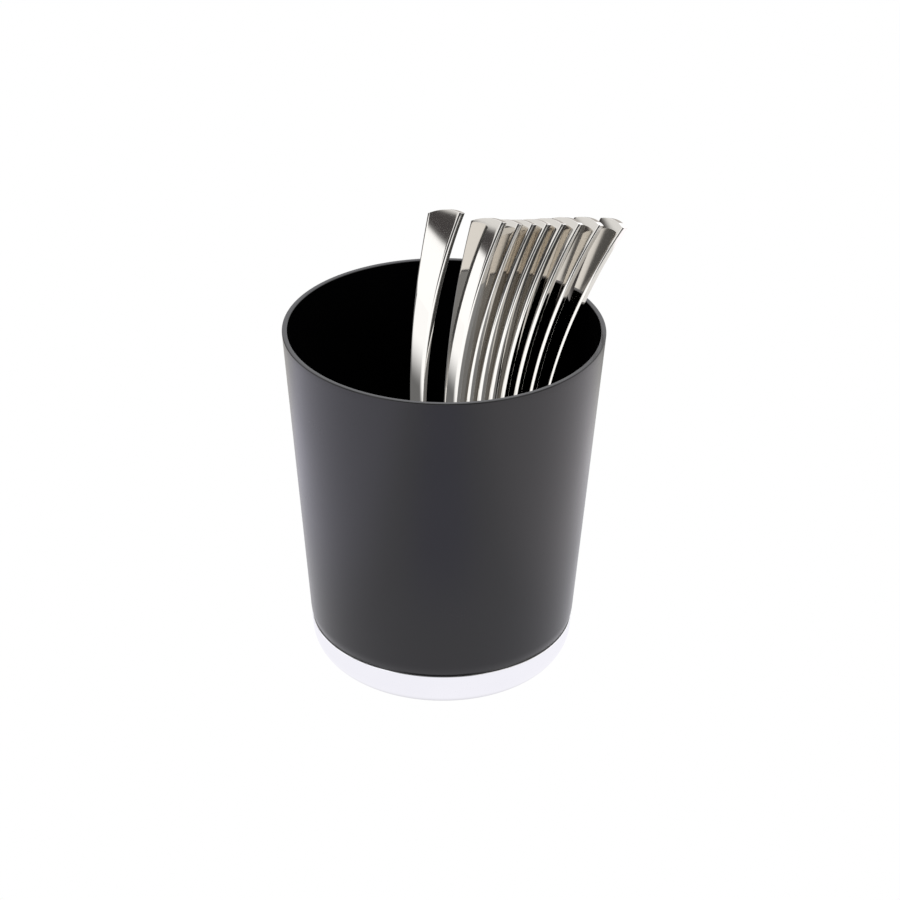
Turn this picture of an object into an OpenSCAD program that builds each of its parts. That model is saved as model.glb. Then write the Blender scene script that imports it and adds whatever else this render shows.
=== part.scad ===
// Counter-top cutlery holder: a tapered black cup on a bright plated base, with nine table forks standing in it.
// Millimetres. The origin is the centre of the underside, +Z is up and the holder is seen along +Y.

/* [Cup] */
// Outside diameter at the rim
rim_d = 135; // [122:1:145]
// Height from the table to the top of the rim
holder_h = 155; // [145:1:157]
// Wall thickness, square to the wall
cup_wall = 2.2; // [1.8:0.1:2.8]
// Thickness of the cup's floor
floor_t = 5; // [4.6:0.1:7]
// Radius inside the cup, where the floor meets the wall
floor_round = 8; // [4:0.5:10]

/* [Base] */
// Height of the line where the black cup meets the base
seam_h = 19.2; // [18:0.2:24]
// Outside diameter at that line
seam_d = 112.4; // [109.6:0.2:118]
// Radius of the base's rounded lower edge
base_round = 14.5; // [12:0.5:15]
// Wall thickness of the base
base_wall = 2.2; // [1.8:0.1:2.8]
// Thickness of the base's floor
base_floor = 3.6; // [3.4:0.1:5]
// Height over which the cup turns in above the line
shoulder_h = 5; // [3:0.5:8]
// How far the cup has turned in at the line
shoulder_in = 0.8; // [0.4:0.1:1.2]

/* [Foot pad] */
// Diameter of the rubber pad
pad_d = 72; // [62:1:76]
// Thickness of the pad
pad_t = 2; // [1.6:0.1:2.2]
// How far the pad stands below the base
pad_proud = 0.6; // [0.4:0.1:1]

/* [Screws] */
// Shank diameter
screw_d = 3; // [2.5:0.1:3.5]
// Head diameter
screw_head_d = 5.6; // [5:0.1:6.4]
// Length with the head
screw_l = 6; // [5:0.1:6.2]
// Diameter of the circle that the screws stand on
screw_circle = 48; // [40:1:54]
// Number of screws
screw_count = 3; // [3:1:6]

/* [Fork] */
// Length of a fork
fork_l = 191; // [180:1:200]
// Width of the handle's end
end_w = 21.5; // [18:0.5:22]
// How far the handle's end is crowned
end_crown = 1.6; // [0.8:0.2:3]
// Width of the neck
neck_w = 7.1; // [5:0.1:8]
// Height of the neck above the tips
neck_z = 88; // [80:1:96]
// Width of the head
head_w = 24; // [20:0.5:24]
// Length of the tines
tine_l = 50; // [44:1:54]
// Gap between two tines
slot_w = 2.8; // [2.2:0.1:3.2]
// Thickness of the handle's end
handle_t = 2.4; // [2:0.1:2.4]
// Thickness of the neck
neck_t = 2.8; // [2.2:0.1:2.8]
// Thickness of the tines
tine_t = 1.8; // [1.4:0.1:1.8]
// Height above the tips at which the handle starts to bend back
bend_z = 100; // [98:1:120]
// Radius of that bend
bend_r = 210; // [200:1:280]
// Height of the head, which bends forward
head_l = 62; // [58:1:70]
// Radius of the head's bend
tine_r = 350; // [300:5:500]

/* [Single fork] */
// Where its tips stand, to the right
single_x = -7.1; // [-9:0.1:-6.8]
// Where its tips stand, to the back
single_y = -29.8; // [-32:0.1:-29.6]
// Turn about the upright axis
single_yaw = 40.2; // [39.4:0.1:41.4]
// Lean towards its back, beyond the lean of the wall
single_tilt = 9.34; // [8.6:0.02:9.4]
// Lean in its own plane, away from the viewer
single_side_tilt = 19.1; // [18:0.1:20]

/* [Nest of forks] */
// Where the first fork's tips stand, to the right
nest_x = 2.4; // [2.4:0.1:3.4]
// Step from one fork to the next, to the right
nest_step_x = 3.28; // [3.28:0.01:3.4]
// Where the first fork's tips stand, to the back
nest_y = -36.4; // [-36.4:0.1:-35.4]
// Step from one fork to the next, to the back
nest_step_y = -0.44; // [-0.44:0.01:-0.3]
// How fast that step grows
nest_curve_y = 0.376; // [0.37:0.001:0.39]
// Turn of the first fork about the upright axis
nest_yaw = 37.1; // [36:0.1:38]
// How fast the next forks turn back
nest_yaw_curve = 0.315; // [0.29:0.005:0.33]
// Lean of the first fork towards its back, beyond the lean of the wall
nest_tilt = 9.84; // [9.3:0.02:10]
// Lean of the first fork in its own plane, away from the viewer
nest_side_tilt = 17.8; // [17:0.1:18.5]
// How fast the next forks lean less in that plane
nest_side_tilt_curve = 0.115; // [0.1:0.005:0.12]

/* [Clearances] */
// Between the cup's spigot and the base
spigot_gap = 0.2; // [0.1:0.05:0.4]
// Between the cup's floor and the base's floor
seat_gap = 0.1; // [0.05:0.05:0.2]
// Round the pad
pad_gap = 0.3; // [0.2:0.1:0.6]
// Round the screws
screw_gap = 0.1; // [0.05:0.05:0.2]
// Under the tips of the forks
tip_gap = 0.2; // [0.1:0.05:0.3]

/* [Hidden] */
$fn = 96;

black = [0.09, 0.09, 0.1];
bright = [0.9, 0.9, 0.92];
steel = [0.75, 0.74, 0.72];
rubber = [0.13, 0.13, 0.13];

// The outside is one cone from the rim down to the base's rounded edge
taper = (rim_d - seam_d) / 2 / (holder_h - seam_h);
taper_a = atan(taper);

// The base's rounded edge touches the cone and the underside
round_z = pad_proud + base_round;
round_r = cone_r(round_z - base_round * sin(taper_a)) - base_round * cos(taper_a);
base_floor_z = pad_proud + base_floor;

// The cup's spigot follows the base's inside at a clearance
spigot_in = base_wall + spigot_gap;
seat_z = base_floor_z + seat_gap;
floor_z = seat_z + floor_t;
spigot_wall = cup_wall;
lip_r = cup_wall / 2;
inner_round_z = floor_z + floor_round;

// The screw heads lie flush in the pad's recess
screw_head_h = (screw_head_d - screw_d) / 2;
pilot_z = pad_t + screw_l + 2 * screw_gap;
drive_w = 0.7;
drive_l = 3.2;
drive_h = 0.8;

// How much further each nested fork leans back than the first
nest_lean = [0, 1.2, 1.4, 1.2, 0.7, 0.1, -0.2, -0.1];
outline_steps = 32;
crown_steps = 8;
tip_in = 1.5;
tine_pitch = head_w / 4;
slot_root = tine_l - slot_w / 2;
point_l = 7;
point_w = 1.4;
arc_steps = 16;
over = 1;

// Outside radius of the cone at a height
function cone_r(z) = seam_d / 2 + (z - seam_h) * taper;

// Radius of a line inside the cone, a depth below its surface
function inset_r(z, depth) = cone_r(z) - depth / cos(taper_a);

// Points of an arc about a centre, from one angle to another
function arc(c, r, from, to) = [
  for (i = [0:arc_steps])
    let (a = from + (to - from) * i / arc_steps)
      [c[0] + r * cos(a), c[1] + r * sin(a)]
];

// The base's rounded edge at a depth below its surface, down to a floor
function edge_arc(depth, z) = arc(
  [round_r, round_z], base_round - depth, -taper_a,
  -min(90, asin(min(1, (round_z - z) / (base_round - depth))))
);

function backward(list) = [for (i = [len(list) - 1:-1:0]) list[i]];

// How far the cup has turned in at a height above the line
function turn_in(z) = shoulder_in * pow((seam_h + shoulder_h - z) / shoulder_h, 2);

// Centre line of a fork seen from the side, by height above the tips
function fork_bend(z) =
  z > bend_z ? pow(z - bend_z, 2) / (2 * bend_r)
  : z < head_l ? -pow(head_l - z, 2) / (2 * tine_r)
  : 0;

function fork_thick(z) = lookup(z, [
  [0, tine_t], [tine_l, tine_t], [neck_z, neck_t], [bend_z, neck_t], [fork_l, handle_t]
]);

// Half the width of a fork seen from the front
function fork_half(z) =
  z > neck_z ? neck_w / 2 + (end_w - neck_w) / 2 * pow((z - neck_z) / (fork_l - neck_z), 2)
  : z > tine_l ? neck_w / 2 + (head_w - neck_w) / 4 * (1 + cos(180 * (z - tine_l) / (neck_z - tine_l)))
  : head_w / 2 - tip_in * pow(1 - z / tine_l, 2);

// Height at which a leaning fork's lowest tip just clears the floor
function tip_z(tilt, side) =
  floor_z + tip_gap + (fork_bend(0) + tine_t / 2) * sin(tilt) + (head_w / 2 - tip_in) * sin(side) * cos(tilt);

module cup_body() {
  outer_low = [for (i = [0:6]) let (z = seam_h + shoulder_h * i / 6) [cone_r(z) - turn_in(z), z]];
  lip_z = holder_h - lip_r;
  lip_c = [inset_r(lip_z, lip_r), lip_z];
  lip = arc(lip_c, lip_r, -taper_a, 180 - taper_a);
  step_z = seam_h + shoulder_h;
  round_at = inset_r(inner_round_z, spigot_in + spigot_wall) - floor_round;
  inside = arc([round_at, inner_round_z], floor_round, 0, -90);
  color(black)
    difference() {
      rotate_extrude()
        polygon(concat(
          [[0, seat_z]],
          backward(edge_arc(spigot_in, seat_z)),
          [[inset_r(seam_h, spigot_in), seam_h]],
          outer_low,
          lip,
          [[inset_r(step_z, cup_wall), step_z]],
          inside,
          [[0, floor_z]]
        ));
      screw_places()
        translate([0, 0, seat_z - over])
          cylinder(r = screw_d / 2 + screw_gap, h = pilot_z - seat_z + over);
    }
}

module chrome_base() {
  recess_r = pad_d / 2 + pad_gap;
  color(bright)
    difference() {
      rotate_extrude()
        polygon(concat(
          [[0, pad_t], [recess_r, pad_t], [recess_r, pad_proud]],
          backward(edge_arc(0, pad_proud)),
          [[cone_r(seam_h), seam_h], [inset_r(seam_h, base_wall), seam_h]],
          edge_arc(base_wall, base_floor_z),
          [[0, base_floor_z]]
        ));
      screw_places() {
        translate([0, 0, pad_t - over])
          cylinder(r = screw_d / 2 + screw_gap, h = base_floor + over);
        translate([0, 0, pad_t])
          cylinder(
            r1 = screw_head_d / 2 + screw_gap, r2 = screw_d / 2 + screw_gap, h = screw_head_h + screw_gap
          );
      }
    }
}

// Puts its children at each screw
module screw_places() {
  for (i = [0:screw_count - 1])
    rotate([0, 0, 90 + 360 * i / screw_count])
      translate([screw_circle / 2, 0, 0])
        children();
}

module base_screws() {
  color(steel)
    screw_places()
      difference() {
        union() {
          translate([0, 0, pad_t])
            cylinder(r1 = screw_head_d / 2, r2 = screw_d / 2, h = screw_head_h);
          translate([0, 0, pad_t + screw_head_h - over / 2])
            cylinder(d = screw_d, h = screw_l - screw_head_h + over / 2);
        }
        for (a = [0, 90])
          rotate([0, 0, a])
            cube([drive_l, drive_w, 2 * (pad_t + drive_h)], center = true);
      }
}

module foot_pad() {
  color(rubber)
    cylinder(d = pad_d, h = pad_t);
}

// Outline of a fork seen from the front, tips at the bottom
module fork_front() {
  top = fork_l - end_crown;
  right = [for (i = [0:outline_steps]) let (z = top * i / outline_steps) [fork_half(z), z]];
  half = fork_half(top);
  crown = [
    for (i = [1:crown_steps - 1])
      let (x = half * (1 - 2 * i / crown_steps))
        [x, fork_l - end_crown * pow(x / half, 2)]
  ];
  left = [for (p = backward(right)) [-p[0], p[1]]];
  difference() {
    polygon(concat(right, crown, left));
    for (k = [-1:1])
      translate([k * tine_pitch, 0]) {
        translate([0, slot_root])
          circle(d = slot_w);
        polygon([
          [-slot_w / 2, slot_root], [-slot_w / 2, point_l], [-slot_w / 2 - point_w / 2, -over],
          [slot_w / 2 + point_w / 2, -over], [slot_w / 2, point_l], [slot_w / 2, slot_root]
        ]);
      }
  }
}

// Outline of a fork seen from the side, with its back to the right
module fork_side() {
  heights = [for (i = [0:outline_steps]) fork_l * i / outline_steps];
  back = [for (z = heights) [fork_bend(z) + fork_thick(z) / 2, z]];
  front = [for (z = heights) [fork_bend(z) - fork_thick(z) / 2, z]];
  polygon(concat(back, backward(front)));
}

// One fork, upright on its tips: width along X, its back towards +Y
module fork() {
  intersection() {
    rotate([90, 0, 90])
      linear_extrude(height = 2 * head_w, center = true)
        fork_side();
    rotate([90, 0, 0])
      linear_extrude(height = fork_l, center = true)
        fork_front();
  }
}

module standing_fork(x, y, yaw, tilt, side) {
  color(steel)
    translate([x, y, tip_z(tilt, side)])
      rotate([0, 0, yaw - 90])
        rotate([-tilt, 0, 0])
          rotate([0, -side, 0])
            fork();
}

module nested_fork(i) {
  standing_fork(
    nest_x + nest_step_x * i,
    nest_y + nest_step_y * i + nest_curve_y * i * i,
    nest_yaw - nest_yaw_curve * i * i,
    taper_a + nest_tilt + nest_lean[i],
    nest_side_tilt - nest_side_tilt_curve * i * i
  );
}

module fork_1() {
  standing_fork(single_x, single_y, single_yaw, taper_a + single_tilt, single_side_tilt);
}

module fork_2() {
  nested_fork(0);
}

module fork_3() {
  nested_fork(1);
}

module fork_4() {
  nested_fork(2);
}

module fork_5() {
  nested_fork(3);
}

module fork_6() {
  nested_fork(4);
}

module fork_7() {
  nested_fork(5);
}

module fork_8() {
  nested_fork(6);
}

module fork_9() {
  nested_fork(7);
}

cup_body();
chrome_base();
base_screws();
foot_pad();
fork_1();
fork_2();
fork_3();
fork_4();
fork_5();
fork_6();
fork_7();
fork_8();
fork_9();
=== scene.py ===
from math import atan, cos, pi, radians, sin, sqrt

import bpy
import numpy as np
from mathutils import Matrix, Vector


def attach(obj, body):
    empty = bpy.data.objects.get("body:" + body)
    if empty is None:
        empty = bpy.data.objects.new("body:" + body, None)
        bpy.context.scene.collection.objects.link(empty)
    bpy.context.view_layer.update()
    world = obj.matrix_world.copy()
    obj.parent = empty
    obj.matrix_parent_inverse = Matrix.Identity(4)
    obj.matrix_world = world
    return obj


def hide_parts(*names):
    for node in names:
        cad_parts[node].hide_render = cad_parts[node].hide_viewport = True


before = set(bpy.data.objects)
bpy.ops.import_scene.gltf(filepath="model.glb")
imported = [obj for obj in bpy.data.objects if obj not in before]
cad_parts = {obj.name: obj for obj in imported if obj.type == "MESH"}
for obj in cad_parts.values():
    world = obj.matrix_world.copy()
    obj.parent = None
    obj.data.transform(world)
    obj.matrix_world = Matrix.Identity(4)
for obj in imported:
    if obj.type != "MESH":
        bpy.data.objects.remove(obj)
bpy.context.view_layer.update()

MM = 0.001
TINY = 1e-9

# Sizes of the cup, in millimetres
RIM_R = 67.4
HOLDER_H = 155.0
SEAM_H = 19.2
SEAM_R = 56.2
TAPER = (RIM_R - SEAM_R) / (HOLDER_H - SEAM_H)
TAPER_A = atan(TAPER)
CUP_WALL = 2.2
FLOOR_Z = 9.3
FLOOR_ROUND = 8.0
SHOULDER_H = 5.0
SHOULDER_IN = 0.8
LIP_OUT_ROUND = 0.5
LIP_IN_ROUND = 0.4
LIP_FALL = 0.1
SEAT_R = 44.0
SEAT_GAP = 0.1
SPIGOT_GAP = 0.2
SPIGOT_LEAD_H = 4.0
SPIGOT_LEAD_IN = 1.5

# Sizes of the base and the pad, in millimetres, and the angle at which the base's inner round ends
BASE_ROUND = 14.5
BASE_WALL = 2.2
BASE_FLOOR_Z = 4.2
BASE_FLOOR_A = -1.1
BASE_TOP_ROUND = 0.35
RECESS_GAP = 0.3
RECESS_EDGE = 0.2
PAD_PROUD = 0.6
PAD_R = 36.0
PAD_T = 2.0
PAD_LOW_ROUND = 0.5
PAD_TOP_ROUND = 0.3
GROOVE_COUNT = 6
GROOVE_STEP = 5.0
GROOVE_DEEP = 0.5
GROOVE_SLOPE = 0.4
GROOVE_FLAT = 0.8

# Sizes of a screw, in millimetres
SCREW_R = 1.5
SCREW_HEAD_R = 2.8
SCREW_L = 6.0
SCREW_CIRCLE_R = 24.0
SCREW_COUNT = 3
DRIVE_L = 3.2
DRIVE_W = 0.7
DRIVE_H = 0.8
THREAD_PITCH = 0.5
THREAD_DEEP = 0.25
THREAD_CREST = 0.1
THREAD_FLANK = 0.2

# Sizes of a fork, in millimetres; a shoulder is given by its width and its depth
FORK_L = 191.0
END_W = 21.5
END_CROWN = 1.6
END_CROWN_L = 14.0
NECK_W = 7.1
NECK_Z = 88.0
HEAD_W = 24.0
HEAD_L = 62.0
TINE_L = 50.0
TINE_T = 1.8
TINE_R = 350.0
SLOT_W = 2.8
TIP_IN = 1.5
TIP_ROUND = 0.9
TIP_ROUND_L = 6.0
POINT_L = 7.0
POINT_W = 1.4
HANDLE_T = 2.4
NECK_T = 2.8
BEND_Z = 100.0
BEND_R = 210.0
DOME = 0.12
NEAR_SHOULDER = (1.9, 0.55)
FAR_SHOULDER = (1.2, 0.2)
SHOULDER_GROW_L = 24.0
EDGE_BEVEL = 0.4
EDGE_ANGLE = 34
TIP_GAP = 0.2

# Grid of a fork: shares of a tine's width, steps across a slot, and rows up the tines and the plate
OUTER_COLUMNS = [0, 0.07, 0.15, 0.24, 0.34, 0.45, 0.58, 0.72, 0.86, 1]
INNER_COLUMNS = [0, 0.25, 0.5, 0.75, 1]
SLOT_STEPS = 6
TINE_STEPS = 18
ROOT_STEPS = 4
PLATE_STEPS = 72
SLOT_ROOT_Z = TINE_L - SLOT_W / 2
SLOT_BLEND_H = 4.0
PLATE_Z = TINE_L + SLOT_BLEND_H
TINE_COUNT = 4
SLOTS_X = [HEAD_W * (k / TINE_COUNT - 0.5) for k in range(1, TINE_COUNT)]
TINES = list(zip(
    [-HEAD_W / 2] + [x + SLOT_W / 2 for x in SLOTS_X],
    [x - SLOT_W / 2 for x in SLOTS_X] + [HEAD_W / 2],
))

# How the single fork and the nested ones stand: places in millimetres, angles in degrees
WALL_LEAN = 4.757
SINGLE_X = -7.1
SINGLE_Y = -29.8
SINGLE_YAW = 40.2
SINGLE_TILT = 9.34
SINGLE_SIDE_TILT = 19.1
NEST_X = 2.4
NEST_X_STEP = 3.28
NEST_Y = -36.4
NEST_Y_STEP = -0.44
NEST_Y_CURVE = 0.376
NEST_YAW = 37.1
NEST_YAW_CURVE = 0.315
NEST_TILT = 9.84
NEST_LEAN = [0, 1.2, 1.4, 1.2, 0.7, 0.1, -0.2, -0.1]
NEST_SIDE_TILT = 17.8
NEST_SIDE_TILT_CURVE = 0.115

# Studio: the sheet in metres, slopes of two patches' tops, and the hidden cards in the cup in millimetres
SHEET_R = 0.6
SHEET_Z = -0.0003
CARD_SLOPE = 0.233
DARK_SLOPE = 0.52
LINER_LOW_Z = 26
LINER_TOP_Z = 155.1
LINER_GAP = 1.0
LINER_STEPS = 48
GLOW_FROM_Z = 117
GLOW_TO_Z = 141

# Camera, fitted to the rim, the seam and the foot in the photo: degrees, millimetres and pixels of the photo
CAMERA_LIFT = 28.845
CAMERA_ROLL = 0.549
CAMERA_AIM = (2.93, 0, 97.18)
CAMERA_DISTANCE = 1456.0
FOCAL_PX = 3440.3
PHOTO_PX = 900
SENSOR_W = 36
CLIP_START = 0.05
GLOSSY_BOUNCES = 10


# Meshes

def make_object(name, verts, faces, materials, index=None):
    """A smooth-shaded object; the index gives each face its material."""
    mesh = bpy.data.meshes.new(name)
    mesh.from_pydata([tuple(v) for v in verts], [], faces)
    for m in materials:
        mesh.materials.append(m)
    if index is not None:
        mesh.polygons.foreach_set("material_index", index)
    mesh.polygons.foreach_set("use_smooth", [True] * len(mesh.polygons))
    mesh.validate()
    mesh.update()
    obj = bpy.data.objects.new(name, mesh)
    bpy.context.scene.collection.objects.link(obj)
    return obj


def even_turns(count):
    return [2 * pi * k / count for k in range(count)]


def lathe(name, profile, materials, bands=None, turns=even_turns(224)):
    """Turns a profile of (radius, height) points about the upright axis.

    A radius may be a function of the angle, and a point at radius 0 closes the shape. The bands give each
    step of the profile its material.
    """
    count = len(turns)
    verts, faces, index, rings = [], [], [], []
    for r, z in profile:
        if r == 0:
            rings.append([len(verts)])
            verts.append((0, 0, z * MM))
            continue
        rings.append(range(len(verts), len(verts) + count))
        for a in turns:
            reach = (r(a) if callable(r) else r) * MM
            verts.append((reach * cos(a), reach * sin(a), z * MM))
    for i in range(len(rings) - 1):
        low, high = rings[i], rings[i + 1]
        for k in range(count):
            n = (k + 1) % count
            if len(low) == 1:
                faces.append((low[0], high[n], high[k]))
            elif len(high) == 1:
                faces.append((low[k], low[n], high[0]))
            else:
                faces.append((low[k], low[n], high[n], high[k]))
            index.append(bands[i] if bands else 0)
    return make_object(name, verts, faces, materials, index)


def arc(centre, r, start, end, steps):
    turns = [start + (end - start) * i / steps for i in range(steps + 1)]
    return [(centre[0] + r * cos(a), centre[1] + r * sin(a)) for a in turns]


def cone_r(z):
    """Radius of the holder's outside at a height."""
    return SEAM_R + (z - SEAM_H) * TAPER


def inset_r(z, depth):
    """Radius at a height, some depth inside the outside's slanted surface."""
    return cone_r(z) - depth / cos(TAPER_A)


def sharpen(obj, degrees):
    """Keeps edges above an angle crisp."""
    obj.data.set_sharp_from_angle(angle=radians(degrees))


# Node trees

class Nodes:
    """Short calls for making and joining the nodes of one tree."""

    def __init__(self, tree):
        tree.nodes.clear()
        self.new, self.link = tree.nodes.new, tree.links.new

    def node(self, kind, inputs=None, **settings):
        """A new node; each of its inputs is given a value or a socket to link from."""
        made = self.new(kind)
        for key, value in settings.items():
            setattr(made, key, value)
        for key, value in (inputs or {}).items():
            if isinstance(value, bpy.types.NodeSocket):
                self.link(value, made.inputs[key])
            else:
                made.inputs[key].default_value = value
        return made

    def mix(self, kind, share, a, b):
        inputs = {"Factor": share, "A": a, "B": b}
        return self.node("ShaderNodeMix", inputs, data_type=kind).outputs["Result"]

    def math(self, kind, a, b):
        return self.node("ShaderNodeMath", {0: a, 1: b}, operation=kind).outputs[0]

    def ramp(self, value, low, high, start=0.0, end=1.0):
        """A smooth step from start to end while the value goes from low to high, or down to it."""
        inputs = {"Value": value, "From Min": low, "From Max": high, "To Min": start, "To Max": end}
        return self.node("ShaderNodeMapRange", inputs, interpolation_type="SMOOTHSTEP").outputs["Result"]

    def times(self, first, *others):
        for v in others:
            first = self.math("MULTIPLY", first, v)
        return first

    def zone(self, *sides):
        """A mask with soft sides, each of them a ramp."""
        return self.times(*[self.ramp(*side) for side in sides])

    def layers(self, ground, *parts):
        """A ground colour with tints over it, each where its mask is bright."""
        colour = (*ground, 1)
        for tint, mask in parts:
            colour = self.mix("RGBA", mask, colour, (*tint, 1))
        return colour

    def seen_white(self, colour, light, out):
        """White to the camera, and the given colour to everything else."""
        camera_ray = self.node("ShaderNodeLightPath").outputs["Is Camera Ray"]
        lit = self.node(light, {"Color": colour})
        seen = self.node(light, {"Color": (1, 1, 1, 1)})
        pick = self.node("ShaderNodeMixShader", {"Fac": camera_ray, 1: lit.outputs[0], 2: seen.outputs[0]})
        self.node(out, {"Surface": pick.outputs[0]})


def socket(tree, name, way, kind, default=None):
    made = tree.interface.new_socket(name=name, in_out=way, socket_type=kind)
    if default is not None:
        made.default_value = default


# Finishes

SCRATCH_SHARE = 0.4


def wear_group():
    """Fine grain, soft blotches and thin scratches from a place, each as a value about one half."""
    tree = bpy.data.node_groups.new("surface wear", "ShaderNodeTree")
    socket(tree, "Place", "INPUT", "NodeSocketVector")
    socket(tree, "Grain Scale", "INPUT", "NodeSocketFloat", 2500.0)
    socket(tree, "Stretch", "INPUT", "NodeSocketVector", (1.0, 1.0, 1.0))
    for name in ("Grain", "Blotch", "Scratch"):
        socket(tree, name, "OUTPUT", "NodeSocketFloat")
    n = Nodes(tree)
    given = n.node("NodeGroupInput").outputs
    place = given["Place"]
    stretch = n.node("ShaderNodeVectorMath", {0: place, 1: given["Stretch"]}, operation="MULTIPLY")
    grain = {"Vector": place, "Detail": 3, "Scale": given["Grain Scale"]}
    blotch = {"Vector": place, "Detail": 4, "Scale": 30}
    scratch = {"Vector": stretch.outputs[0], "Detail": 5, "Scale": 900, "Roughness": 0.65}
    n.node("NodeGroupOutput", {
        name: n.node("ShaderNodeTexNoise", inputs).outputs["Fac"]
        for name, inputs in (("Grain", grain), ("Blotch", blotch), ("Scratch", scratch))
    })
    return tree


WEAR = wear_group()


def material(name, dark, light, rough, grain=2500.0, stretch=(1, 1, 1), bump=0.05, distance=0.00004,
             metallic=0.0, ior=1.5, by_attribute=None):
    """A finish between two tints and two roughnesses, with slight relief."""
    made = bpy.data.materials.new(name)
    made.use_nodes = True
    n = Nodes(made.node_tree)
    if by_attribute:
        place = n.node("ShaderNodeAttribute", attribute_name=by_attribute).outputs["Vector"]
    else:
        place = n.node("ShaderNodeTexCoord").outputs["Object"]
    wear_inputs = {"Place": place, "Grain Scale": grain, "Stretch": stretch}
    wear = n.node("ShaderNodeGroup", wear_inputs, node_tree=WEAR).outputs
    worn = n.mix("FLOAT", SCRATCH_SHARE, wear["Blotch"], wear["Scratch"])
    height = n.mix("FLOAT", SCRATCH_SHARE, wear["Grain"], wear["Scratch"])
    spread = {"Value": worn, "From Min": 0.3, "From Max": 0.7, "To Min": rough[0], "To Max": rough[1]}
    relief = {"Height": height, "Strength": bump, "Distance": distance}
    shader = n.node("ShaderNodeBsdfPrincipled", {
        "Base Color": n.mix("RGBA", wear["Blotch"], (*dark, 1), (*light, 1)),
        "Roughness": n.node("ShaderNodeMapRange", spread).outputs["Result"],
        "Normal": n.node("ShaderNodeBump", relief).outputs["Normal"],
        "Metallic": metallic,
        "IOR": ior,
    })
    n.node("ShaderNodeOutputMaterial", {"Surface": shader.outputs[0]})
    return made


BLACK = ((0.0035, 0.0033, 0.004), (0.006, 0.0056, 0.0068))
satin = material("satin black plastic", *BLACK, (0.2, 0.28), bump=0.06)
edge_gloss = material("worn black lip", *BLACK, (0.1, 0.18), bump=0.03)
# The inside wall's copy of the black plastic is darker and barely reflects (IOR 1.06): painted shade inside
# the cup
gloss = material("polished black plastic, darkened inside as painted shade", (0.001, 0.001, 0.0012), (0.002, 0.002, 0.0022), (0.05, 0.1),
                 bump=0.01, ior=1.06)
plating = material("bright plating", (0.9, 0.9, 0.92), (0.96, 0.96, 0.97), (0.03, 0.09),
                   bump=0.01, stretch=(1, 1, 8), metallic=1.0)
steel = material("polished steel", (0.84, 0.82, 0.79), (0.88, 0.86, 0.83), (0.03, 0.07),
                 bump=0.012, stretch=(3, 3, 0.12), metallic=1.0, by_attribute="along")
rubber = material("pad rubber", (0.02, 0.02, 0.02), (0.035, 0.035, 0.034), (0.65, 0.85),
                  grain=1800, bump=0.35, distance=0.0001)
plain = material("plain screw steel", (0.5, 0.49, 0.47), (0.62, 0.61, 0.59), (0.2, 0.35),
                 bump=0.08, metallic=1.0)


# Cup, with a flat-topped lip between two small rounds, a turned-in lower edge and a rounded floor
WALL_ROWS = 40
INNER_LIP_STEPS = 3
lip_out_z = HOLDER_H - LIP_OUT_ROUND
lip_in_z = HOLDER_H - LIP_FALL - LIP_IN_ROUND
lip_out_at = (inset_r(lip_out_z, LIP_OUT_ROUND), lip_out_z)
lip_in_at = (inset_r(lip_in_z, CUP_WALL - LIP_IN_ROUND), lip_in_z)
lip = arc(lip_out_at, LIP_OUT_ROUND, -TAPER_A, pi / 2, steps=8)
lip += arc(lip_in_at, LIP_IN_ROUND, pi / 2, pi - TAPER_A, steps=8)
shoulder_z = SEAM_H + SHOULDER_H
shoulder = [
    (cone_r(SEAM_H + SHOULDER_H * t) - SHOULDER_IN * (1 - t) ** 2, SEAM_H + SHOULDER_H * t)
    for t in np.linspace(0, 1, 11)
]
wall_out = [(cone_r(z), z) for z in np.linspace(shoulder_z, lip[0][1], WALL_ROWS)[1:-1]]
wall_in = [(inset_r(z, CUP_WALL), z) for z in np.linspace(lip[-1][1], shoulder_z, WALL_ROWS)[1:]]
spigot_in = BASE_WALL + SPIGOT_GAP
spigot_r = inset_r(SEAM_H, spigot_in)
floor_z = FLOOR_Z + FLOOR_ROUND
floor_r = inset_r(floor_z, spigot_in + CUP_WALL) - FLOOR_ROUND
floor_in = arc((floor_r, floor_z), FLOOR_ROUND, 0, -pi / 2, steps=16)
seat_z = BASE_FLOOR_Z + SEAT_GAP
under = [
    (0, seat_z),
    (SEAT_R, seat_z),
    (spigot_r - SPIGOT_LEAD_IN, SEAM_H - SPIGOT_LEAD_H),
    (spigot_r, SEAM_H),
]
cup_profile = under + shoulder + wall_out + lip + wall_in + floor_in + [(0, FLOOR_Z)]
lip_from = len(under) + len(shoulder) + len(wall_out)
lip_to = lip_from + len(lip) - INNER_LIP_STEPS
bands = [int(i >= lip_from) + int(i >= lip_to) for i in range(len(cup_profile) - 1)]
cup = lathe("cup", cup_profile, [satin, edge_gloss, gloss], bands)
sharpen(cup, degrees=40)

# Base, one bright rounded cap with a small rounded top edge and a recess for the pad
base_round_z = PAD_PROUD + BASE_ROUND
base_round_r = cone_r(base_round_z - BASE_ROUND * sin(TAPER_A)) - BASE_ROUND * cos(TAPER_A)
base_round_at = (base_round_r, base_round_z)
base_top_z = SEAM_H - BASE_TOP_ROUND
base_top_at = (cone_r(base_top_z) - BASE_TOP_ROUND, base_top_z)
recess_r = PAD_R + RECESS_GAP
base_profile = [
    (0, PAD_T),
    (recess_r, PAD_T),
    (recess_r, PAD_PROUD + RECESS_EDGE),
    (recess_r + RECESS_EDGE, PAD_PROUD),
]
base_profile += arc(base_round_at, BASE_ROUND, -pi / 2, -TAPER_A, steps=40)
base_profile += arc(base_top_at, BASE_TOP_ROUND, -TAPER_A, pi / 2, steps=8)
base_profile.append((inset_r(SEAM_H, BASE_WALL), SEAM_H))
base_profile += arc(base_round_at, BASE_ROUND - BASE_WALL, -TAPER_A, BASE_FLOOR_A, steps=16)
base_profile.append((0, BASE_FLOOR_Z))
base = lathe("base", base_profile, [plating])
sharpen(base, degrees=40)


# Pad, with rounded edges and shallow rings underneath

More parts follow.
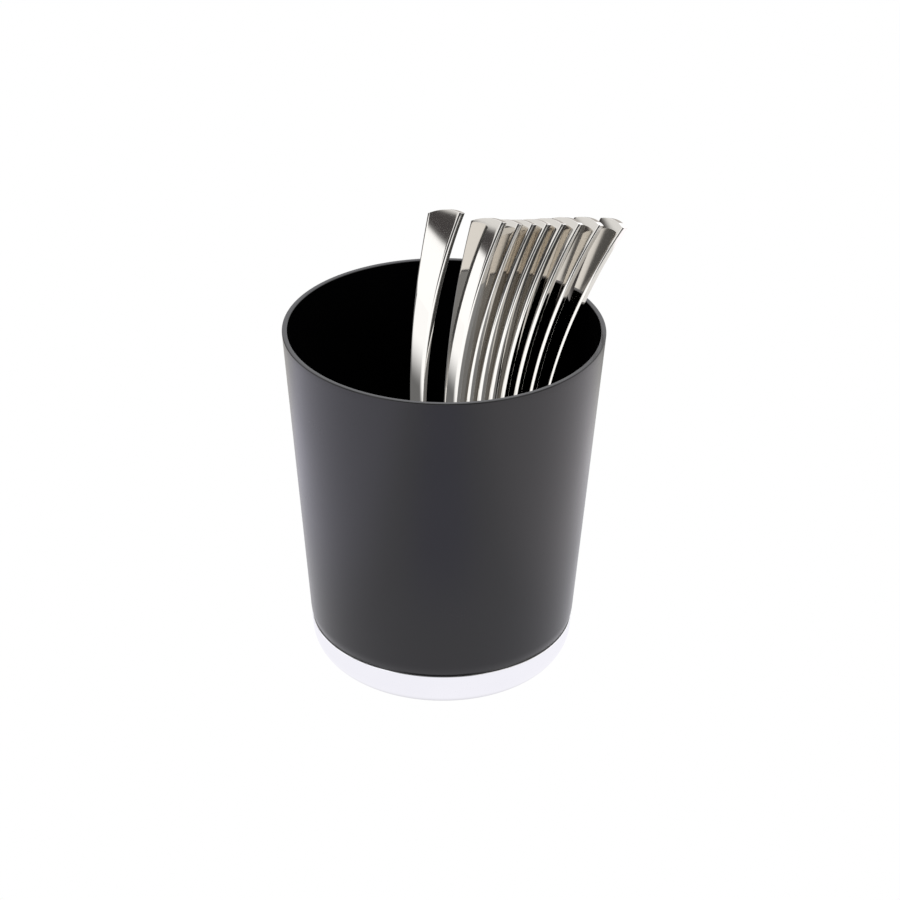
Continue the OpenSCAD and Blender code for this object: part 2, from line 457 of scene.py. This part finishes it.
def groove(r):
    """Profile of one ring under the pad, from its inner edge outwards."""
    floor = r + GROOVE_SLOPE, r + GROOVE_SLOPE + GROOVE_FLAT
    return [(r, 0), (floor[0], GROOVE_DEEP), (floor[1], GROOVE_DEEP), (floor[1] + GROOVE_SLOPE, 0)]


pad_profile = [(0, 0)]
for k in range(1, GROOVE_COUNT + 1):
    pad_profile += groove(GROOVE_STEP * k)
pad_profile += arc((PAD_R - PAD_LOW_ROUND, PAD_LOW_ROUND), PAD_LOW_ROUND, -pi / 2, 0, steps=6)
pad_profile += arc((PAD_R - PAD_TOP_ROUND, PAD_T - PAD_TOP_ROUND), PAD_TOP_ROUND, 0, pi / 2, steps=4)
pad_profile.append((0, PAD_T))
pad = lathe("pad", pad_profile, [rubber], turns=even_turns(128))
sharpen(pad, degrees=30)


# Screws behind the pad, alike and set on a circle by a node tree

def cross_r(angle):
    """Radius of the cross recess at an angle."""
    c, s = max(abs(cos(angle)), TINY), max(abs(sin(angle)), TINY)
    return max(min(DRIVE_L / 2 / c, DRIVE_W / 2 / s), min(DRIVE_W / 2 / c, DRIVE_L / 2 / s))


def make_screw():
    """A countersunk screw with a cross recess and thread rings, upright on the holder's axis."""
    arm = atan(DRIVE_W / DRIVE_L)
    mid = (arm + pi / 4) / 2
    turns = [q * pi / 2 + a for q in range(4) for a in (-arm, 0, arm, mid, pi / 4, pi / 2 - mid)]
    drive_z = PAD_T + DRIVE_H
    neck_z = PAD_T + SCREW_HEAD_R - SCREW_R
    end_z = PAD_T + SCREW_L
    core_r = SCREW_R - THREAD_DEEP
    profile = [(0, drive_z), (cross_r, drive_z), (cross_r, PAD_T), (SCREW_HEAD_R, PAD_T), (SCREW_R, neck_z)]
    for k in range(1, int((end_z - neck_z) / THREAD_PITCH)):
        z = neck_z + k * THREAD_PITCH
        profile += [(SCREW_R, z - THREAD_CREST), (SCREW_R, z), (core_r, z + THREAD_FLANK)]
    profile += [(core_r, end_z), (0, end_z)]
    screw = lathe("screws", profile, [plain], turns=turns)
    sharpen(screw, degrees=30)
    return screw


def screw_ring_tree():
    """Sets copies of one screw on a circle and makes them one mesh."""
    tree = bpy.data.node_groups.new("screw ring", "GeometryNodeTree")
    socket(tree, "Screw", "INPUT", "NodeSocketGeometry")
    socket(tree, "Count", "INPUT", "NodeSocketInt", SCREW_COUNT)
    socket(tree, "Circle Radius", "INPUT", "NodeSocketFloat", SCREW_CIRCLE_R * MM)
    socket(tree, "Finish", "INPUT", "NodeSocketMaterial")
    socket(tree, "Screws", "OUTPUT", "NodeSocketGeometry")
    n = Nodes(tree)
    given = n.node("NodeGroupInput").outputs
    circle = n.node("GeometryNodeMeshCircle", {"Vertices": given["Count"], "Radius": given["Circle Radius"]})
    copies = n.node("GeometryNodeInstanceOnPoints", {
        "Points": circle.outputs["Mesh"],
        "Instance": given["Screw"],
    })
    joined = n.node("GeometryNodeRealizeInstances", {"Geometry": copies.outputs["Instances"]})
    finished = n.node("GeometryNodeSetMaterial", {
        "Geometry": joined.outputs["Geometry"],
        "Material": given["Finish"],
    })
    n.node("NodeGroupOutput", {"Screws": finished.outputs["Geometry"]})
    return tree


def set_on_circle(screw):
    """Runs the node tree on one screw and keeps the result as a plain mesh, the first screw at the back."""
    tree = screw_ring_tree()
    ring = screw.modifiers.new("ring", "NODES")
    ring.node_group = tree
    values = {"Count": SCREW_COUNT, "Circle Radius": SCREW_CIRCLE_R * MM, "Finish": plain}
    for item in tree.interface.items_tree:
        if item.in_out == "INPUT" and item.name in values:
            ring[item.identifier] = values[item.name]
    ready = screw.evaluated_get(bpy.context.evaluated_depsgraph_get())
    mesh = bpy.data.meshes.new_from_object(ready)
    screw.modifiers.clear()
    mesh.transform(Matrix.Rotation(pi / 2, 4, "Z"))
    screw.data = mesh


screws = make_screw()
set_on_circle(screws)

for obj, node, slot in (
    (cup, "cup_body", "black_plastic"),
    (base, "chrome_base", "bright_plating"),
    (screws, "base_screws", "screw_steel"),
    (pad, "foot_pad", "pad_rubber"),
):
    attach(obj, "holder")
    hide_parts(node)


# Forks

def bend(z):
    """How far the fork's middle lies behind its straight neck at a height; before it is negative."""
    if z > BEND_Z:
        return (z - BEND_Z) ** 2 / (2 * BEND_R)
    if z < HEAD_L:
        return -((HEAD_L - z) ** 2) / (2 * TINE_R)
    return 0.0


def thick(z):
    heights = [0, TINE_L, NECK_Z, BEND_Z, FORK_L]
    return float(np.interp(z, heights, [TINE_T, TINE_T, NECK_T, NECK_T, HANDLE_T]))


def half_width(z):
    if z > NECK_Z:
        return NECK_W / 2 + (END_W - NECK_W) / 2 * ((z - NECK_Z) / (FORK_L - NECK_Z)) ** 2
    if z > TINE_L:
        return NECK_W / 2 + (HEAD_W - NECK_W) / 4 * (1 + cos(pi * (z - TINE_L) / (NECK_Z - TINE_L)))
    return HEAD_W / 2 - TIP_IN * (1 - z / TINE_L) ** 2


def fall(x, z, side):
    """How far a face falls away from its middle: a slight dome, and at the front rounded shoulders."""
    half = half_width(min(z, FORK_L))
    drop = DOME * (x / half) ** 2
    if side < 0:
        wide, deep = NEAR_SHOULDER if x > 0 else FAR_SHOULDER
        wide = min(wide, half / 2)
        s = max(0.0, (abs(x) - half + wide) / wide)
        grown = min(1.0, max(0.0, (z - PLATE_Z) / SHOULDER_GROW_L))
        drop += deep * grown * s * s
    return drop


def grid_columns():
    """Places across the head, each with the number of its tine, or None in a slot."""
    columns = []
    last = TINE_COUNT - 1
    for k, (left, right) in enumerate(TINES):
        shares = INNER_COLUMNS
        if k == 0:
            shares = OUTER_COLUMNS
        if k == last:
            shares = [1 - t for t in reversed(OUTER_COLUMNS)]
        columns += [(left + (right - left) * t, k) for t in shares]
        if k < last:
            columns += [(right + SLOT_W * i / SLOT_STEPS, None) for i in range(1, SLOT_STEPS)]
    return columns


def plate_column(x):
    """Points up one column from the tines' roots to the handle's end; a slot's round root evens out."""
    away = min(abs(x - slot_x) for slot_x in SLOTS_X)
    arch = sqrt(max(0.0, (SLOT_W / 2) ** 2 - away ** 2))
    across = x / (HEAD_W / 2)
    rows = [SLOT_ROOT_Z + (PLATE_Z - SLOT_ROOT_Z) * i / ROOT_STEPS for i in range(ROOT_STEPS + 1)]
    rows += [PLATE_Z + (FORK_L - PLATE_Z) * i / PLATE_STEPS for i in range(1, PLATE_STEPS + 1)]
    points = []
    for row in rows:
        z = row + arch * max(0.0, 1 - (row - SLOT_ROOT_Z) / (PLATE_Z - SLOT_ROOT_Z))
        crown = END_CROWN * across ** 2 * max(0.0, (z - FORK_L + END_CROWN_L) / END_CROWN_L) ** 2
        points.append((across * half_width(z), z - crown))
    return points


def tine_column(x, tine):
    """Points up one column of a tine, from its rounded tip to just below its root."""
    left, right = TINES[tine]
    share = (x - left) / (right - left)
    points = []
    for i in range(TINE_STEPS):
        z = SLOT_ROOT_Z * i / TINE_STEPS
        point = max(0.0, 1 - z / POINT_L) * POINT_W / 2
        a = left + point if tine > 0 else -half_width(z)
        b = right - point if tine < TINE_COUNT - 1 else half_width(z)
        tip = TIP_ROUND * (2 * share - 1) ** 2 * max(0.0, 1 - z / TIP_ROUND_L)
        points.append((a + (b - a) * share, z + tip))
    return points


def fork_grid():
    """Front view of a fork as a grid: (x, z) points and the quads between them."""
    points, quads, plates, tines = [], [], [], []

    def keep(column):
        points.extend(column)
        return range(len(points) - len(column), len(points))

    columns = grid_columns()
    for x, tine in columns:
        plates.append(keep(plate_column(x)))
        tines.append([] if tine is None else [*keep(tine_column(x, tine)), plates[-1][0]])
    for c in range(len(columns) - 1):
        strips = [(plates[c], plates[c + 1])]
        if columns[c][1] is not None and columns[c][1] == columns[c + 1][1]:
            strips.append((tines[c], tines[c + 1]))
        for a, b in strips:
            quads += [(a[r], b[r], b[r + 1], a[r + 1]) for r in range(len(a) - 1)]
    return points, quads


FORK_POINTS, FORK_QUADS = fork_grid()


def fork_stand(number):
    """Place of a fork's tips, its turn, its lean to the back and its lean in its own plane.

    The lean to the back adds to that of the cup's wall. A curve grows with the square of the place in the
    nest.
    """
    if number == 1:
        return SINGLE_X, SINGLE_Y, SINGLE_YAW, WALL_LEAN + SINGLE_TILT, SINGLE_SIDE_TILT
    i = number - 2
    return (
        NEST_X + NEST_X_STEP * i,
        NEST_Y + NEST_Y_STEP * i + NEST_Y_CURVE * i * i,
        NEST_YAW - NEST_YAW_CURVE * i * i,
        WALL_LEAN + NEST_TILT + NEST_LEAN[i],
        NEST_SIDE_TILT - NEST_SIDE_TILT_CURVE * i * i,
    )


def stand_matrix(x, y, yaw, tilt, side):
    """Stands a fork on the cup's floor."""
    t, s = radians(tilt), radians(side)
    z = FLOOR_Z + TIP_GAP + (bend(0) + TINE_T / 2) * sin(t) + (HEAD_W / 2 - TIP_IN) * sin(s) * cos(t)
    return (
        Matrix.Translation(Vector((x, y, z)) * MM)
        @ Matrix.Rotation(radians(yaw - 90), 4, "Z")
        @ Matrix.Rotation(-t, 4, "X")
        @ Matrix.Rotation(-s, 4, "Y")
    )


WEAR_SHIFT = 0.37


def make_fork(number, material):
    """A fork with a slightly domed face, bevelled all round, standing in its place."""
    local = [
        (x, bend(z) + side * (thick(z) / 2 - fall(x, z, side)), z)
        for side in (-1, 1)
        for x, z in FORK_POINTS
    ]
    count = len(FORK_POINTS)
    faces = FORK_QUADS + [tuple(count + i for i in reversed(q)) for q in FORK_QUADS]
    edges = dict.fromkeys((a, b) for q in FORK_QUADS for a, b in zip(q, q[1:] + q[:1]))
    faces += [(b, a, count + a, count + b) for a, b in edges if (b, a) not in edges]
    place = stand_matrix(*fork_stand(number))
    verts = [place @ (Vector(p) * MM) for p in local]
    obj = make_object(f"fork_{number}_steel", verts, faces, [material])
    along = obj.data.attributes.new("along", "FLOAT_VECTOR", "POINT")
    shift = number * WEAR_SHIFT
    along.data.foreach_set("vector", [v for x, y, z in local for v in (x * MM + shift, y * MM, z * MM)])
    edge = obj.modifiers.new("edge", "BEVEL")
    edge.width = EDGE_BEVEL * MM
    edge.segments = 3
    edge.limit_method = "ANGLE"
    edge.angle_limit = radians(EDGE_ANGLE)
    even = obj.modifiers.new("even", "WEIGHTED_NORMAL")
    even.keep_sharp = True
    return obj


forks = []
for number in range(1, 10):
    piece = make_fork(number, steel)
    forks.append(piece)
    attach(piece, f"fork_{number}")
    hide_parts(f"fork_{number}")


# Studio: a white sheet under the holder and a room round it

def sheet_material():
    """White to the camera, and a glow with painted light to everything else: the metal mirrors it brighter
    at the sides and darker behind, with a painted contact shadow under the holder.
    """
    made = bpy.data.materials.new("white sheet")
    made.use_nodes = True
    n = Nodes(made.node_tree)
    place = n.node("ShaderNodeTexCoord").outputs["Object"]
    reach = n.node("ShaderNodeVectorMath", {0: place}, operation="LENGTH").outputs["Value"]
    x, y, _ = n.node("ShaderNodeSeparateXYZ", {0: place}).outputs
    # Patches of painted light and shade, in metres from the holder's axis
    left = n.ramp(x, -0.08, -0.17)
    right = n.ramp(x, 0.08, 0.17)
    front = n.zone((y, -0.1, -0.17), (x, 0.1, 0.02), (x, -0.1, -0.02))
    behind = n.ramp(y, 0.12, 0.25)
    behind_right = n.zone((y, 0.2, 0.3), (x, 0.0, 0.08))
    patch = n.zone((y, 0.36, 0.4), (y, 0.54, 0.5), (x, 0.026, 0.038), (x, 0.12, 0.09))
    # Painted contact shadow: the glow is darker close under the holder's base
    painted_contact_shadow = n.ramp(reach, 0.053, 0.038)
    colour = n.layers(
        (0.95, 0.94, 0.99),
        ((1.24, 1.22, 1.38), left),
        ((1.2, 1.16, 1.21), right),
        ((0.8, 0.79, 0.95), front),
        ((0.92, 0.9, 0.87), behind),
        ((0.3, 0.29, 0.28), behind_right),
        ((0.1, 0.098, 0.095), patch),
        ((0.33, 0.33, 0.34), painted_contact_shadow),
    )
    n.seen_white(colour, "ShaderNodeEmission", "ShaderNodeOutputMaterial")
    return made


def disc(name, radius, z, material, count=96):
    rim = [(radius * cos(a), radius * sin(a), z) for a in even_turns(count)]
    faces = [(0, k + 1, (k + 1) % count + 1) for k in range(count)]
    return make_object(name, [(0, 0, z)] + rim, faces, [material])


sheet = disc("sheet", SHEET_R, SHEET_Z, sheet_material())


def room():
    """The room as the object reflects it, by direction; the camera itself sees plain white."""
    world = bpy.data.worlds.new("room")
    world.use_nodes = True
    bpy.context.scene.world = world
    n = Nodes(world.node_tree)
    way = n.node("ShaderNodeTexCoord").outputs["Generated"]
    x, y, z = n.node("ShaderNodeSeparateXYZ", {0: way}).outputs
    # Patches by direction: x to the right, y to the back and z up
    card_top = n.math("ADD", z, n.math("MULTIPLY", y, CARD_SLOPE))
    dark_top = n.math("ADD", z, n.math("MULTIPLY", y, DARK_SLOPE))
    card = n.zone((card_top, 0.365, 0.345), (y, 0.53, 0.45))
    left = n.times(n.math("MAXIMUM", card, n.ramp(y, 0.2, 0.1)), n.ramp(x, -0.2, -0.4))
    white = n.math("MAXIMUM", left, n.ramp(z, 0.1, 0.0))
    sky = n.math("MAXIMUM", n.zone((z, 0.38, 0.5), (y, 0.3, 0.5)), n.zone((z, 0.06, 0.14), (y, 0.8, 0.88)))
    overhead = n.zone((z, 0.8, 0.88), (y, -0.2, -0.05))
    rear = n.zone((y, 0.8, 0.9), (z, 0.12, 0.04))
    dark = n.zone((dark_top, 0.525, 0.508), (y, 0.12, 0.2), (x, -0.4, -0.55), (z, -0.12, -0.06))
    dark = n.times(dark, n.ramp(card, 1.0, 0.0))
    front = n.zone((x, -0.6, -0.45), (x, 0.5, 0.3), (y, -0.2, -0.32), (z, 0.35, 0.5))
    high = n.zone((y, 0.06, -0.02), (y, -0.4, -0.3), (x, -0.5, -0.6), (z, 0.4, 0.46))
    side = n.zone((x, 0.4, 0.6), (y, -0.12, -0.2), (z, 0.3, 0.2), (z, -0.4, -0.3))
    side = n.times(side, n.ramp(y, -0.63, -0.55, 0.45, 1.0))
    corner = n.zone((x, 0.15, 0.3), (x, 0.64, 0.58), (y, -0.55, -0.68), (z, 0.2, 0.1), (z, -0.38, -0.3))
    below = n.zone((z, 0.03, -0.02), (z, -0.25, -0.18), (x, -0.5, -0.7))
    back = n.zone((y, 0.5, 0.6), (x, -0.2, -0.35), (z, 0.02, -0.06), (z, -0.45, -0.35))
    colour = n.layers(
        (0.8, 0.79, 0.77),
        ((1.2, 1.2, 1.2), white),
        ((1.4, 1.4, 1.45), sky),
        ((1.5, 1.5, 1.55), overhead),
        ((0.5, 0.47, 0.44), rear),
        ((0.06, 0.055, 0.055), dark),
        ((0.06, 0.06, 0.06), front),
        ((0.06, 0.06, 0.06), high),
        ((0.45, 0.43, 0.4), side),
        ((0.3, 0.29, 0.28), corner),
        ((0.5, 0.49, 0.48), below),
        ((0.16, 0.155, 0.15), back),
    )
    n.seen_white(colour, "ShaderNodeBackground", "ShaderNodeOutputWorld")


room()


def liner_material(name, low, high):
    """A glow that grows from one strength to another between two heights in the cup."""
    made = bpy.data.materials.new(name)
    made.use_nodes = True
    n = Nodes(made.node_tree)
    place = n.node("ShaderNodeTexCoord").outputs["Object"]
    z = n.node("ShaderNodeSeparateXYZ", {0: place}).outputs["Z"]
    glow = n.node("ShaderNodeEmission", {"Strength": n.ramp(z, GLOW_FROM_Z * MM, GLOW_TO_Z * MM, low, high)})
    n.node("ShaderNodeOutputMaterial", {"Surface": glow.outputs[0]})
    return made


def make_liner(name, start, end, material, takers):
    """A hidden card just inside the cup's wall, between two angles, which only the given forks reflect."""
    turns = [radians(start + (end - start) * k / LINER_STEPS) for k in range(LINER_STEPS + 1)]
    verts = []
    for z in (LINER_LOW_Z, LINER_TOP_Z):
        r = (inset_r(z, CUP_WALL) - LINER_GAP) * MM
        verts += [(r * cos(a), r * sin(a), z * MM) for a in turns]
    row = len(turns)
    faces = [(k, k + 1, row + k + 1, row + k) for k in range(LINER_STEPS)]
    card = make_object(name, verts, faces, [material])
    card.visible_camera = False
    card.visible_diffuse = False
    card.visible_shadow = False
    card.visible_transmission = False
    lit = bpy.data.collections.new(name + " forks")
    for fork in takers:
        lit.objects.link(fork)
    card.light_linking.receiver_collection = lit


bright_liner = liner_material("bright liner", low=0.16, high=1.15)
dim_liner = liner_material("dim liner", low=0.2, high=0.24)
make_liner("liner", start=-230, end=-62, material=bright_liner, takers=forks)
make_liner("dim liner", start=-60, end=128, material=dim_liner, takers=forks[:5])


# Camera at the photo's angle
scene = bpy.context.scene
scene.view_settings.view_transform = "Standard"
scene.cycles.glossy_bounces = GLOSSY_BOUNCES
lift = radians(CAMERA_LIFT)
camera_data = bpy.data.cameras.new("camera")
camera_data.sensor_width = SENSOR_W
camera_data.lens = FOCAL_PX / PHOTO_PX * SENSOR_W
camera_data.clip_start = CLIP_START
camera = bpy.data.objects.new("camera", camera_data)
scene.collection.objects.link(camera)
eye = Vector(CAMERA_AIM) * MM + Vector((0, -cos(lift), sin(lift))) * CAMERA_DISTANCE * MM
camera.matrix_world = (
    Matrix.Translation(eye)
    @ Matrix.Rotation(pi / 2 - lift, 4, "X")
    @ Matrix.Rotation(radians(CAMERA_ROLL), 4, "Z")
)
scene.camera = camera
